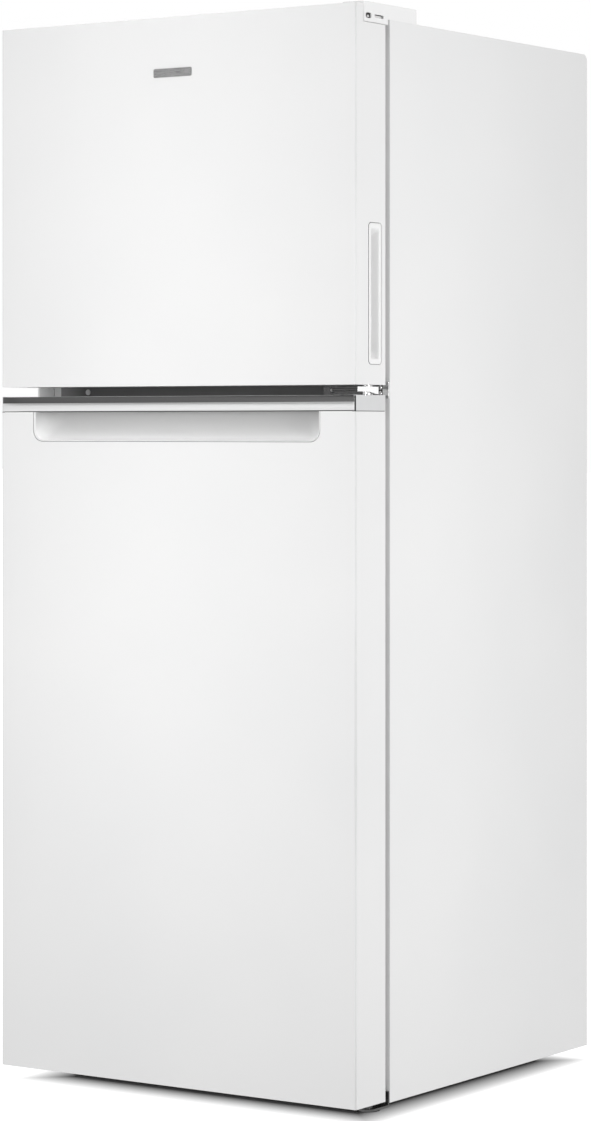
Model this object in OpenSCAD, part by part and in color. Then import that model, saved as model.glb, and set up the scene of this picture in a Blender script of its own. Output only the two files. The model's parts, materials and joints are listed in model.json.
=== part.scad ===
// Top freezer refrigerator: foamed steel cabinet, two right-hand doors, fittings and running gear.
// Frame: origin on the floor under the middle of the box, +X to the right seen from the front,
// -Y out of the doors, +Z up. Millimetres.

/* [Overall] */
// Width over cabinet and doors
body_w = 600; // [540:2:700]
// Depth from the door fronts to the rear wall spacers
body_d = 660; // [640:2:740]
// Height of the cabinet's steel top
cabinet_top = 1474.5; // [1440:0.5:1600]
// Height of the cabinet's underside above the floor
cabinet_bottom = 22; // [22:0.5:26]
// Depth of the space at the rear for the condenser and its spacers
rear_space = 41; // [38:1:50]

/* [Doors] */
// Thickness of each door without its gasket
door_t = 72; // [66:1:84]
// Gap between a door's back and the cabinet's front
gasket_gap = 11; // [9:0.5:14]
// Height of the fresh-food door's lower edge
fridge_door_z0 = 25; // [25:0.5:30]
// Height of the fresh-food door's upper edge
fridge_door_z1 = 971; // [960:0.5:990]
// Gap between the two doors
door_split = 13.5; // [12:0.5:18]
// Height of the freezer door above the cabinet's top
door_rise = 16; // [14:0.5:20]
// Radius of the doors' front vertical edges
door_edge_r = 3; // [2:0.5:8]

/* [Hinges] */
// Distance of the hinge axis from the door's right side
hinge_inset = 13; // [12:0.5:18]
// Distance of the hinge axis behind the door front
hinge_depth = 48; // [44:0.5:50]
// Diameter of the hinge pins
hinge_pin_d = 8; // [6:0.5:9]
// Radial running clearance of pins and shafts
running_gap = 0.05; // [0.03:0.01:0.08]

/* [Walls] */
// Thickness of the steel sheet
sheet = 1.5; // [1:0.1:2]
// Thickness of the moulded liners
liner_t = 2.5; // [2:0.1:3]
// Width of the steel front flange that the gaskets close on
flange_w = 42; // [40:1:46]
// Height of the insulated wall between the two compartments
divider_h = 60; // [56:1:66]
// Bend radius at the cabinet's top rear edge
rear_edge_r = 10; // [6:1:14]

/* [Handles] */
// Height of the metal trim bar on the fresh-food door
trim_h = 21; // [18:0.5:24]
// Width of the finger scoop under the trim bar
scoop_w = 486; // [420:2:500]
// Height of the finger scoop below the trim bar
scoop_h = 41.5; // [36:0.5:46]
// Height of the finger grip in the freezer door's side
grip_h = 189.5; // [160:0.5:200]
// Width of the finger grip in the freezer door's side
grip_w = 33; // [30:0.5:36]

/* [Fittings] */
// Heights of the glass shelves' undersides
shelf_levels = [430, 580, 730];
// Heights of the fresh-food door bins' undersides
bin_levels = [290, 440, 565];
// Heights of the freezer door bins' undersides
freezer_bin_levels = [1060, 1225];
// Height of the freezer shelf's underside
freezer_shelf_z = 1212; // [1180:1:1240]
// Outer diameter of the evaporator fan
fan_d = 92; // [80:1:96]
// Diameter of the levelling feet
foot_d = 36; // [30:1:40]
// Diameter of the rear rollers
roller_d = 20; // [16:1:21]

/* [Hidden] */
$fn = 48;

white_enamel = "white";
light_plastic = "gainsboro";
clear_plastic = "lightcyan";
dark_steel = "dimgray";
zinc = "silver";
copper = "peru";
foam_tone = "khaki";
rubber_tone = "darkslategray";

// Outer planes
half_w = body_w / 2;
badge_t = 0.8;
front_y = -body_d / 2;
door_y = [front_y, front_y + door_t];
cab_y = [door_y[1] + gasket_gap, body_d / 2 - rear_space];
cab_z = [cabinet_bottom, cabinet_top];
freezer_door_z = [fridge_door_z1 + door_split, cabinet_top + door_rise];
fridge_door_z = [fridge_door_z0, fridge_door_z1];

// Compartments: outer faces of the liners
liner_half = half_w - flange_w;
liner_rear = cab_y[1] - 44;
divider_z = (fridge_door_z1 + freezer_door_z[0]) / 2;
freezer_z = [divider_z + divider_h / 2, cabinet_top - flange_w];
fridge_z = [cabinet_bottom + 38, divider_z - divider_h / 2];
freezer_in_z = [freezer_z[0] + liner_t, freezer_z[1] - liner_t];
fridge_in_z = [fridge_z[0] + liner_t, fridge_z[1] - liner_t];
inner_half = liner_half - liner_t;
inner_rear = liner_rear - liner_t;
liner_corner_r = 14;

// Compressor chamber and the liner's step over it
chamber_y0 = cab_y[1] - 169;
chamber_top = cabinet_bottom + 193;
step_y = chamber_y0 - 40;
step_z = chamber_top + 47;

// Hinge axis
hinge_x = half_w - hinge_inset;
hinge_y = front_y + hinge_depth;
hinge_at = [hinge_x, hinge_y];
pin_bore_d = hinge_pin_d + 2 * running_gap;

// Door build
freezer_cap_top_h = 38;
freezer_cap_low_h = 18;
fridge_cap_low_h = 22;
fridge_cap_top_h = trim_h + 0.5;
notch_floor = freezer_door_z[1] - 24;
notch_front = front_y + 17;
notch_left = hinge_x - 38;
gasket_half = hinge_x - 1;
gasket_w = 18;
gasket_t = gasket_gap - 0.4;
dyke_half = inner_half - 10.5;
dyke_w = 28;
dyke_rear = door_y[1] + 43;
pocket_floor = door_y[1] - 17;
pocket_half = dyke_half - dyke_w;
bin_rear = door_y[1] + 108;
bin_wall = 3;
freezer_dyke_z = [freezer_in_z[0] + 5.5, freezer_in_z[1] - 5.5];
fridge_dyke_z = [fridge_in_z[0] + 5.5, fridge_in_z[1] - 5.5];

// Inner fittings
shelf_y = [cab_y[0] + 112, inner_rear - 24];
shelf_t = 16;
glass_t = 4;
rim_w = 14;
rail_w = 8;
crisper_y = [cab_y[0] + 102, step_y - liner_t - 8];
crisper_z = [fridge_in_z[0] + 5.5, step_z - 4];
crisper_gap = 6;
crisper_wall = 3;
slider_z = crisper_z[1] - 16;
cover_y = inner_rear - 56;
cover_t = 6;
fan_z = freezer_in_z[1] - 84;
fan_hole_d = fan_d + 12;
fan_y = [cover_y + cover_t + 4, cover_y + cover_t + 20];
air_slot_x = [70, 120];
air_slot_z = freezer_in_z[1] - 160;
housing_y = [cab_y[0] + 187, inner_rear - 142];
housing_z0 = fridge_in_z[1] - 40;
housing_half = 130;
dial_at = [-70, housing_z0 + 20];
dairy_z = 690;
dairy_half = pocket_half - 5;
dairy_hinge = [pocket_floor + 15, dairy_z + 95];

// Running gear
leg_x = half_w - 60;
leg_y = cab_y[0] + 36;
leg_rod_d = 8;
roller_x = half_w - 70;
roller_y = cab_y[1] - 49;
roller_w = 16;
roller_axle_d = 5;
compressor_at = [90, chamber_y0 + 84];
inlet_at = [-200, cabinet_bottom + 98];

// Helpers: ranges and plain shapes

function sym(h) = [-h, h];
function mid(a) = (a[0] + a[1]) / 2;
function span_of(a) = a[1] - a[0];
function grow(a, d) = [a[0] - d, a[1] + d];

// Box between three ranges
module box(x, y, z) {
    translate([x[0], y[0], z[0]])
        cube([span_of(x), span_of(y), span_of(z)]);
}

// Centred rectangle with round corners
module round_rect(w, h, r) {
    square([w - 2 * r, h], center = true);
    square([w, h - 2 * r], center = true);
    for (sx = [-1, 1], sy = [-1, 1])
        translate([sx * (w / 2 - r), sy * (h / 2 - r)])
            circle(r = r);
}

// Boxes with four round edges along one axis
module round_box_x(x, y, z, r) {
    translate([x[0], mid(y), mid(z)])
        rotate([90, 0, 90])
            linear_extrude(span_of(x))
                round_rect(span_of(y), span_of(z), r);
}

module round_box_y(x, y, z, r) {
    translate([mid(x), y[1], mid(z)])
        rotate([90, 0, 0])
            linear_extrude(span_of(y))
                round_rect(span_of(x), span_of(z), r);
}

module round_box_z(x, y, z, r) {
    translate([mid(x), mid(y), z[0]])
        linear_extrude(span_of(z))
            round_rect(span_of(x), span_of(y), r);
}

// Round rods along one axis; at gives the other two coordinates
module rod_x(d, x, at) {
    translate([x[0], at[0], at[1]])
        rotate([0, 90, 0])
            cylinder(d = d, h = span_of(x));
}

module rod_y(d, y, at) {
    translate([at[0], y[0], at[1]])
        rotate([-90, 0, 0])
            cylinder(d = d, h = span_of(y));
}

module rod_z(d, z, at) {
    translate([at[0], at[1], z[0]])
        cylinder(d = d, h = span_of(z));
}

// A copy on each side of the middle plane
module both_sides() {
    children();
    mirror([1, 0, 0])
        children();
}

// Open-topped tray with round vertical edges
module tray(x, y, z, wall, r) {
    difference() {
        round_box_z(x, y, z, r);
        round_box_z(grow(x, -wall), grow(y, -wall), [z[0] + wall, z[1] + 1], r - wall);
    }
}

// Cabinet

// Space inside the steel wrapper
module wrapper_space() {
    round_box_x(sym(half_w - sheet), [cab_y[0] + sheet, cab_y[1] - sheet],
                [cab_z[0] - 20, cab_z[1] - sheet], rear_edge_r - sheet);
    box(sym(half_w - sheet), [cab_y[0] + sheet, cab_y[1] + 1],
        [cab_z[0] - 20, cab_z[1] - rear_edge_r]);
}

module cabinet_shell() color(white_enamel) {
    difference() {
        box(sym(half_w), cab_y, cab_z);
        // Round bend at the top rear edge
        difference() {
            box(sym(half_w + 1), [cab_y[1] - rear_edge_r, cab_y[1] + 1],
                [cab_z[1] - rear_edge_r, cab_z[1] + 1]);
            rod_x(2 * rear_edge_r, sym(half_w + 2),
                  [cab_y[1] - rear_edge_r, cab_z[1] - rear_edge_r]);
        }
        wrapper_space();
        // Front opening inside the flange
        box(sym(liner_half), [cab_y[0] - 1, cab_y[0] + sheet + 1], [fridge_z[0], freezer_z[1]]);
    }
}

module rear_panel() color(dark_steel)
    box(sym(half_w - sheet), [cab_y[1] - sheet, cab_y[1]], [chamber_top, cab_z[1] - rear_edge_r]);

module bottom_pan() color(dark_steel) {
    difference() {
        union() {
            box(sym(half_w - sheet), [cab_y[0] + sheet, cab_y[1] - sheet],
                [cab_z[0], cab_z[0] + sheet]);
            box(sym(half_w - sheet), [chamber_y0 - sheet, chamber_y0],
                [cab_z[0] + sheet, chamber_top + sheet]);
            box(sym(half_w - sheet), [chamber_y0, cab_y[1] - sheet],
                [chamber_top, chamber_top + sheet]);
            both_sides()
                rod_z(22, [cab_z[0] - 8, cab_z[0]], [leg_x, leg_y]);
        }
        both_sides()
            rod_z(leg_rod_d + 2 * running_gap, [0, cab_z[0] + 5], [leg_x, leg_y]);
    }
}

// Outer volume of each liner
module freezer_hole() {
    box(sym(liner_half), [cab_y[0], liner_rear], freezer_z);
}

module fridge_hole() {
    box(sym(liner_half), [cab_y[0], step_y], fridge_z);
    box(sym(liner_half), [cab_y[0], liner_rear], [step_z, fridge_z[1]]);
}

module cabinet_foam() color(foam_tone) {
    difference() {
        intersection() {
            wrapper_space();
            box(sym(half_w), [cab_y[0] + sheet, cab_y[1] - sheet],
                [cab_z[0] + sheet, cab_z[1] - sheet]);
        }
        freezer_hole();
        fridge_hole();
        box(sym(half_w), [chamber_y0 - sheet, cab_y[1]], [0, chamber_top + sheet]);
        both_sides()
            rod_z(leg_rod_d + 4, [0, cab_z[0] + 36], [leg_x, leg_y]);
    }
}

module freezer_liner() color(white_enamel) {
    difference() {
        freezer_hole();
        round_box_y(sym(inner_half), [cab_y[0] - 1, inner_rear], freezer_in_z, liner_corner_r);
    }
    // Shelf rails on both walls
    both_sides()
        box([inner_half - rail_w, inner_half], [shelf_y[0] + 10, cover_y - 20],
            [freezer_shelf_z - 10, freezer_shelf_z]);
}

module fridge_liner() color(white_enamel) {
    difference() {
        fridge_hole();
        round_box_y(sym(inner_half), [cab_y[0] - 1, step_y - liner_t], fridge_in_z,
                    liner_corner_r);
        round_box_y(sym(inner_half), [cab_y[0] - 1, inner_rear],
                    [step_z + liner_t, fridge_in_z[1]], liner_corner_r);
        // Square lower edges above the step, where the crisper cover lies
        box(sym(inner_half), [step_y - 2 * liner_t, inner_rear],
            [step_z + liner_t, step_z + 3 * liner_corner_r]);
    }
    both_sides() {
        // Shelf rails on the walls
        for (z = shelf_levels)
            box([inner_half - rail_w, inner_half], [shelf_y[0] + 10, shelf_y[1]], [z - 10, z]);
        // Crisper runners on the floor
        for (x = [40, 200])
            box([x, x + 6], [crisper_y[0] + 6, crisper_y[1] - 6],
                [fridge_in_z[0] - 0.5, crisper_z[0] - 0.5]);
    }
}

module center_mullion() color(dark_steel)
    box(sym(liner_half), [cab_y[0], cab_y[0] + sheet], [fridge_z[1], freezer_z[0]]);

// Hinges

module top_hinge_bracket() color(zinc) {
    z = [cabinet_top, cabinet_top + 3];
    difference() {
        union() {
            box([hinge_x - 55, hinge_x + 10], [cab_y[0] + 3, cab_y[0] + 62], z);
            box([hinge_x - 10, hinge_x + 10], [hinge_y, cab_y[0] + 4], z);
            rod_z(20, z, hinge_at);
        }
        for (x = [hinge_x - 44, hinge_x], y = [cab_y[0] + 14, cab_y[0] + 50])
            rod_z(5, grow(z, 1), [x, y]);
    }
    rod_z(hinge_pin_d, [notch_floor - 12, cabinet_top], hinge_at);
    rod_z(14, [cabinet_top + 3, cabinet_top + 6], hinge_at);
}

// Plan of the cover: a wide foot on the cabinet and a narrow nose over the door notch
module cover_plan(inset) {
    nose_x = [hinge_x - 25 + inset, half_w - 0.5 - inset];
    nose_y = [front_y + 21 + inset, cab_y[0] + 20];
    foot_x = [hinge_x - 63 + inset, nose_x[1]];
    foot_y = [cab_y[0] + inset, cab_y[0] + 72 - inset];
    translate([mid(nose_x), mid(nose_y)])
        round_rect(span_of(nose_x), span_of(nose_y), 6 - inset);
    translate([mid(foot_x), mid(foot_y)])
        round_rect(span_of(foot_x), span_of(foot_y), 6 - inset);
}

// Plan of the nose's skirt, which goes down into the door notch
module skirt_plan(inset) {
    x = [hinge_x - 25 + inset, half_w - 0.5 - inset];
    y = [front_y + 21 + inset, cab_y[0] - 0.5 - inset];
    translate([mid(x), mid(y)])
        round_rect(span_of(x), span_of(y), 5 - inset);
}

module top_hinge_cover() color(white_enamel) {
    wall = 2;
    height = 20;
    skirt_z = notch_floor + 0.8;
    difference() {
        union() {
            translate([0, 0, cabinet_top])
                linear_extrude(height)
                    cover_plan(0);
            translate([0, 0, skirt_z])
                linear_extrude(cabinet_top - skirt_z)
                    skirt_plan(0);
        }
        translate([0, 0, cabinet_top])
            linear_extrude(height - wall)
                cover_plan(wall);
        translate([0, 0, skirt_z - 1])
            linear_extrude(cabinet_top - skirt_z + 2)
                skirt_plan(wall);
        // Openings in the nose's outer side, round the pin and the plate
        round_box_x([half_w - 8, half_w + 1], [front_y + 25, front_y + 38.5],
                    [cabinet_top - 2.5, cabinet_top + 5], 3);
        round_box_x([half_w - 8, half_w + 1], [front_y + 46, front_y + 69],
                    [cabinet_top - 0.5, cabinet_top + 4], 2);
    }
}

module center_hinge_bracket() color(zinc) {
    top = fridge_door_z1 + 11.2;
    thick = 3;
    rim = 2.5;
    pad_x = [hinge_x - 29, half_w - 0.7];
    pad_y = [front_y + 5.5, front_y + 56];
    pin_z = [fridge_door_z1 - 15, freezer_door_z[0] + 16];
    // Flange on the cabinet front
    round_box_y([hinge_x - 92, half_w - 0.5], [cab_y[0] - 2.5, cab_y[0]],
                [fridge_door_z1 - 4.5, freezer_door_z[0] + 4], 2);
    // Pad between the doors, with its edges folded down
    difference() {
        box(pad_x, pad_y, [top - 7, top]);
        box([pad_x[0] + rim, pad_x[1] - rim], [pad_y[0] + rim, pad_y[1] + 1],
            [top - 8, top - thick]);
    }
    box([pad_x[1] - rim, pad_x[1]], [pad_y[1] - 11, pad_y[1]], [fridge_door_z1 + 1, top - 6]);
    box([pad_x[0], hinge_x - 6], [pad_y[1] - 1, cab_y[0] - 2], [top - thick, top]);
    rod_z(hinge_pin_d, pin_z, hinge_at);
    // Collars that keep the doors off the pad
    rod_z(14, [top - 1, freezer_door_z[0] - 0.5], hinge_at);
    rod_z(14, [fridge_door_z1 + 0.5, top - thick + 1], hinge_at);
}

module bottom_hinge_bracket() color(zinc) {
    z = [fridge_door_z0 - 9, fridge_door_z0 - 6];
    box([hinge_x - 52, hinge_x + 12], [cab_y[0] - 2.5, cab_y[0]], [z[0], fridge_door_z0 + 12]);
    box([hinge_x - 12, hinge_x + 12], [hinge_y, cab_y[0] - 2.5], z);
    rod_z(24, z, hinge_at);
    rod_z(hinge_pin_d, [z[1], fridge_door_z0 + 18], hinge_at);
    rod_z(14, [z[1], fridge_door_z0 - 0.5], hinge_at);
}

// Covers of the unused left-hand hinge holes
module hinge_hole_plugs() color(light_plastic) {
    round_box_y([-half_w + 4, -half_w + 30], [cab_y[0] - 1.2, cab_y[0]],
                [divider_z - 7, divider_z + 7], 3);
    rod_y(8, [cab_y[0] - 1.2, cab_y[0]], [-half_w + 91, divider_z]);
    for (x = [-hinge_x, -hinge_x + 44], y = [cab_y[0] + 14, cab_y[0] + 50])
        rod_z(9, [cabinet_top, cabinet_top + 1.2], [x, y]);
}

module hinge_screws() color(zinc) {
    // Top bracket: head above, shank through the bracket
    for (x = [hinge_x - 44, hinge_x], y = [cab_y[0] + 14, cab_y[0] + 50]) {
        rod_z(9, [cabinet_top + 3, cabinet_top + 5.5], [x, y]);
        rod_z(4.8, [cabinet_top, cabinet_top + 3], [x, y]);
    }
    // Heads on the centre and bottom brackets
    for (at = [[hinge_x - 77, divider_z + 0.5], [hinge_x - 1, divider_z + 3.6],
               [hinge_x - 1, divider_z - 4], [hinge_x - 44, fridge_door_z0 + 5],
               [hinge_x + 4, fridge_door_z0 + 5]])
        rod_y(7, [cab_y[0] - 5, cab_y[0] - 2.5], at);
}

// Running gear

module roller_brackets() color(zinc) {
    cheek = 2;
    both_sides() {
        for (sx = [-1, 1])
            box(grow([roller_x, roller_x], cheek / 2) + sx * [1, 1] * (roller_w / 2 + 2),
                grow([roller_y, roller_y], 12), [5, cabinet_bottom]);
        rod_x(roller_axle_d, grow([roller_x, roller_x], roller_w / 2 + 5),
              [roller_y, roller_d / 2]);
    }
}

module roller(side) color(rubber_tone) {
    x = side * roller_x;
    difference() {
        rod_x(roller_d, grow([x, x], roller_w / 2), [roller_y, roller_d / 2]);
        rod_x(roller_axle_d + 2 * running_gap, grow([x, x], roller_w), [roller_y, roller_d / 2]);
    }
}

module rear_roller_left() roller(-1);
module rear_roller_right() roller(1);

module leg(side) color(rubber_tone) {
    at = [side * leg_x, leg_y];
    rod_z(foot_d, [0, 8], at);
    rod_z(16, [8, 12], at);
    rod_z(leg_rod_d, [12, cabinet_bottom + 30], at);
}

module leveling_leg_left() leg(-1);
module leveling_leg_right() leg(1);

// Compressor chamber

module compressor() color(dark_steel) {
    base_z = cab_z[0] + 16;
    shell_r = 62;
    belt_z = base_z + 66;
    dome_h = 42;
    translate([compressor_at[0], compressor_at[1], 0]) {
        // Welded can: straight belt between two rounded domes
        rotate_extrude()
            union() {
                translate([0, base_z + 14])
                    square([shell_r - 14, 130]);
                translate([0, base_z + 28])
                    square([shell_r, 102]);
                for (z = [base_z + 28, base_z + 130])
                    translate([shell_r - 14, z])
                        intersection() {
                            circle(r = 14);
                            translate([0, -14])
                                square([14, 28]);
                        }
            }
        // Weld belt
        rod_z(2 * shell_r + 5, [belt_z, belt_z + 5], [0, 0]);
        // Mounting plate
        round_box_z(sym(96), sym(54), [base_z, base_z + 3], 10);
        rod_z(70, [base_z + 3, base_z + 14], [0, 0]);
        // Starter relay housing on the can's side
        round_box_x([-86, -56], sym(28), [belt_z - 30, belt_z + dome_h - 6], 4);
    }
}

module compressor_feet() color(rubber_tone) {
    for (sx = [-1, 1], sy = [-1, 1])
        rod_z(24, [cab_z[0] + sheet, cab_z[0] + 16],
              [compressor_at[0] + sx * 80, compressor_at[1] + sy * 38]);
}

module filter_drier() color(copper) {
    at = [-70, chamber_y0 + 60];
    rod_z(20, [cab_z[0] + 40, cab_z[0] + 140], at);
    rod_z(6, [cab_z[0] + sheet, cab_z[0] + 40], at);
    rod_z(3, [cab_z[0] + 140, chamber_top], at);
}

module drain_pan() color(light_plastic)
    tray(grow([compressor_at[0], compressor_at[0]], 90),
         grow([compressor_at[1], compressor_at[1]], 56),
         [cab_z[0] + 160, chamber_top - 8], 2, 12);

module compressor_cover() color(dark_steel) {
    y = [cab_y[1] - sheet, cab_y[1]];
    difference() {
        box(sym(half_w - sheet), y, [cab_z[0], chamber_top]);
        for (i = [0 : 8], x = [-60, 120])
            round_box_y([x, x + 130], grow(y, 1),
                        [cab_z[0] + 30 + 17 * i, cab_z[0] + 36 + 17 * i], 2.9);
        rod_y(20, grow(y, 1), inlet_at);
    }
}

module power_inlet() color(dark_steel) {
    difference() {
        union() {
            rod_y(19.6, [cab_y[1] - 8, cab_y[1]], inlet_at);
            rod_y(30, [cab_y[1], cab_y[1] + 4], inlet_at);
            rod_y(18, [cab_y[1] + 4, cab_y[1] + 16], inlet_at);
        }
        rod_y(9, [cab_y[1] - 9, cab_y[1] + 17], inlet_at);
    }
}

// Condenser: one serpentine tube with wires across it

module condenser() color(dark_steel) {
    tube_d = 5;
    wire_d = 2;
    run_half = 205;
    pitch = 66;
    runs = 16;
    low_z = chamber_top + 135;
    tube_y = cab_y[1] + 20;
    for (i = [0 : runs - 1])
        rod_x(tube_d, sym(run_half), [tube_y, low_z + i * pitch]);
    for (i = [0 : runs - 2])
        translate([(i % 2 == 0 ? 1 : -1) * run_half, tube_y, low_z + (i + 0.5) * pitch])
            rotate([90, i % 2 == 0 ? 90 : 270, 0])
                rotate_extrude(angle = 180)
                    translate([pitch / 2, 0])
                        circle(d = tube_d);
    for (x = [-190 : 38 : 190])
        rod_z(wire_d, [low_z - 10, low_z + (runs - 1) * pitch + 10],
              [x, tube_y + tube_d / 2 + wire_d / 2 + 0.1]);
}

// Clips that carry the condenser, with a bumper that keeps the cabinet off the wall
module wall_spacers() color(rubber_tone) {
    tube_y = cab_y[1] + 20;
    for (x = [-228, 228], z = [chamber_top + 168, chamber_top + 1092])
        difference() {
            round_box_y(grow([x, x], 22), [cab_y[1], body_d / 2 + badge_t], grow([z, z], 20), 5);
            box(grow([x, x], 30), grow([tube_y, tube_y], 3.5), grow([z, z], 36));
        }
}

// Freezer compartment

module evaporator() color(zinc) {
    y = [cover_y + 12, inner_rear - 6];
    z0 = freezer_in_z[0] + 22;
    fin_z = [z0, z0 + 190];
    for (x = [-200 : 16 : 200])
        box([x - 0.5, x + 0.5], y, fin_z);
    difference() {
        for (row = [0 : 5])
            rod_x(8, sym(212), [mid(y), z0 + 20 + 30 * row]);
        for (x = [-200 : 16 : 200])
            box([x - 0.5, x + 0.5], y, fin_z);
    }
}

module evaporator_cover() color(white_enamel) {
    y = [cover_y, cover_y + cover_t];
    difference() {
        round_box_y(sym(inner_half), y, freezer_in_z, liner_corner_r);
        rod_y(fan_hole_d, grow(y, 1), [0, fan_z]);
        // Return air slots at the bottom
        for (x = [-220 : 40 : 180])
            round_box_y([x, x + 30], grow(y, 1), [freezer_in_z[0] + 18, freezer_in_z[0] + 26], 3);
        // Slot of the air slider
        box([air_slot_x[0], air_slot_x[1]], grow(y, 1), [air_slot_z, air_slot_z + 8]);
    }
    // Grille over the fan: three rings on crossed bars
    translate([0, y[0], fan_z])
        rotate([90, 0, 0])
            linear_extrude(4)
                fan_grille();
}

module fan_grille() {
    for (d = [34, 66, 98])
        difference() {
            circle(d = d);
            circle(d = d - 5);
        }
    for (a = [0, 60, 120])
        rotate(a)
            square([fan_hole_d + 10, 4], center = true);
}

module fan_motor() color(dark_steel) {
    plate_y = [fan_y[1] + 3, fan_y[1] + 6];
    rod_y(44, [plate_y[0], inner_rear - 3], [0, fan_z]);
    box(sym(62), plate_y, grow([fan_z, fan_z], 6));
    both_sides()
        rod_y(8, [cover_y + cover_t, plate_y[0]], [57, fan_z]);
    rod_y(4, [fan_y[0] + 2, plate_y[0]], [0, fan_z]);
}

module evaporator_fan() color(light_plastic) {
    blades = 5;
    difference() {
        union() {
            rod_y(30, fan_y, [0, fan_z]);
            for (i = [0 : blades - 1])
                translate([0, mid(fan_y), fan_z])
                    rotate([0, i * 360 / blades, 0])
                        rotate([0, 0, 32])
                            translate([-11, -1, 12])
                                cube([22, 2, fan_d / 2 - 13]);
        }
        rod_y(4 + 2 * running_gap, grow(fan_y, 1), [0, fan_z]);
    }
}

module freezer_air_slider() color(light_plastic) {
    x = air_slot_x[0] + 1;
    z = [air_slot_z + 0.5, air_slot_z + 7.5];
    box([x, x + 10], [cover_y - 1, cover_y + cover_t + 1], z);
    round_box_y([x - 6, x + 16], [cover_y - 7, cover_y - 1], [z[0] - 5, z[1] + 5], 3);
    box([x - 8, x + 22], [cover_y + cover_t + 1, cover_y + cover_t + 3], grow(z, 6));
}

module freezer_shelf() color(light_plastic) {
    x = sym(inner_half - 2);
    y = [shelf_y[0], cover_y - 14];
    z = [freezer_shelf_z, freezer_shelf_z + 12];
    difference() {
        box(x, y, z);
        for (i = [0 : 12])
            translate([-228 + 36 * i, 0, 0])
                box([0, 24], grow(y, -16), grow(z, 1));
    }
}

// Fresh-food compartment

module glass_shelves() color(clear_plastic) {
    for (z = shelf_levels)
        box(sym(inner_half - 2 - rim_w / 2), grow(shelf_y, -rim_w / 2),
            [z + shelf_t - 6 - glass_t, z + shelf_t - 6]);
    box(sym(inner_half - 2 - rim_w / 2), [crisper_y[0] + rim_w / 2, inner_rear - 31],
        [step_z + liner_t + 8, step_z + liner_t + 8 + glass_t]);
}

// One moulded frame round a pane, grooved to hold the glass
module pane_frame(y, z, glass_z) {
    x = sym(inner_half - 2);
    difference() {
        box(x, y, z);
        box(grow(x, -rim_w), grow(y, -rim_w), grow(z, 1));
        box(grow(x, -rim_w / 2), grow(y, -rim_w / 2), glass_z);
    }
}

module shelf_frames() color(white_enamel)
    for (z = shelf_levels)
        pane_frame(shelf_y, [z, z + shelf_t], [z + shelf_t - 6 - glass_t, z + shelf_t - 6]);

module crisper_cover() color(white_enamel) {
    z0 = step_z + liner_t;
    pane_frame([crisper_y[0], inner_rear - 24], [z0, z0 + 16],
               [z0 + 8, z0 + 8 + glass_t]);
    // Divider that guides both drawers
    box(sym(crisper_gap - 1), [crisper_y[0] + 4, crisper_y[1]], [fridge_in_z[0], z0]);
}

module control_housing() color(white_enamel) {
    y = housing_y;
    difference() {
        round_box_x(sym(housing_half), y, [housing_z0, fridge_in_z[1]], 6);
        // Lamp recess in the underside and the dial's shaft hole
        box([10, 110], [y[0] + 20, y[1] - 20], [housing_z0 - 1, housing_z0 + 24]);
        rod_y(6 + 2 * running_gap, [y[0] - 1, y[0] + 18], dial_at);
    }
}

module lamp_lens() color(clear_plastic) {
    y = grow(housing_y, -20);
    difference() {
        box([10, 110], y, [housing_z0, housing_z0 + 24]);
        box([12, 108], grow(y, -2), [housing_z0 + 3, housing_z0 + 25]);
    }
}

module temperature_dial() color(light_plastic) {
    y = housing_y[0];
    rod_y(34, [y - 12, y - 1], dial_at);
    rod_y(6, [y - 1, y + 16], dial_at);
    // Grip bar across the face
    box(grow([dial_at[0], dial_at[0]], 3), [y - 17, y - 12],
        grow([dial_at[1], dial_at[1]], 14));
}

module air_duct() color(white_enamel) {
    y = [inner_rear - 20, inner_rear];
    z = [step_z + liner_t + 24, fridge_in_z[1] - 2];
    difference() {
        box(sym(62), y, z);
        box(sym(58), [y[0] + 3, y[1] - 3], grow(z, 1));
        for (level = shelf_levels)
            box(sym(44), [y[0] - 1, y[0] + 4], [level + 60, level + 72]);
    }
}

module crisper(side) color(clear_plastic) {
    far = inner_half - 4.5;
    x = side > 0 ? [crisper_gap, far] : [-far, -crisper_gap];
    slot = slot_range(side);
    difference() {
        union() {
            tray(x, crisper_y, crisper_z, crisper_wall, 10);
            // Pull lip along the front
            box(grow(x, -42), [crisper_y[0] - 8, crisper_y[0] + 1],
                [crisper_z[1] - 34, crisper_z[1] - 24]);
        }
        // Slot of the humidity slider
        box(slot, [crisper_y[0] - 10, crisper_y[0] + 6], [slider_z - 3, slider_z + 3]);
    }
}

function slot_range(side) = [side * inner_half / 2 - 30, side * inner_half / 2 + 30];

module crisper_left() crisper(-1);
module crisper_right() crisper(1);

module humidity_slider(side) color(light_plastic) {
    x0 = slot_range(side)[0] + 1;
    y = crisper_y[0];
    box([x0, x0 + 14], [y - 0.5, y + 3.5], [slider_z - 2.5, slider_z + 2.5]);
    round_box_y([x0 - 3, x0 + 17], [y - 5, y - 0.5], [slider_z - 6, slider_z + 6], 3);
    box([x0 - 3, x0 + 17], [y + 3.5, y + 5.5], [slider_z - 6, slider_z + 6]);
}

module humidity_slider_left() humidity_slider(-1);
module humidity_slider_right() humidity_slider(1);

// Doors: shared parts

// Plan of a door with round front edges, inset by the sheet where it is lined
module door_plan(inset) {
    r = door_edge_r - inset;
    w = body_w - 2 * inset;
    y0 = front_y + inset;
    translate([-w / 2, y0 + r])
        square([w, door_y[1] - y0 - r]);
    translate([-w / 2 + r, y0])
        square([w - 2 * r, r]);
    for (sx = [-1, 1])
        translate([sx * (w / 2 - r), y0 + r])
            circle(r = r);
}

module door_prism(z, inset) {
    translate([0, 0, z[0]])
        linear_extrude(span_of(z))
            door_plan(inset);
}

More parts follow.
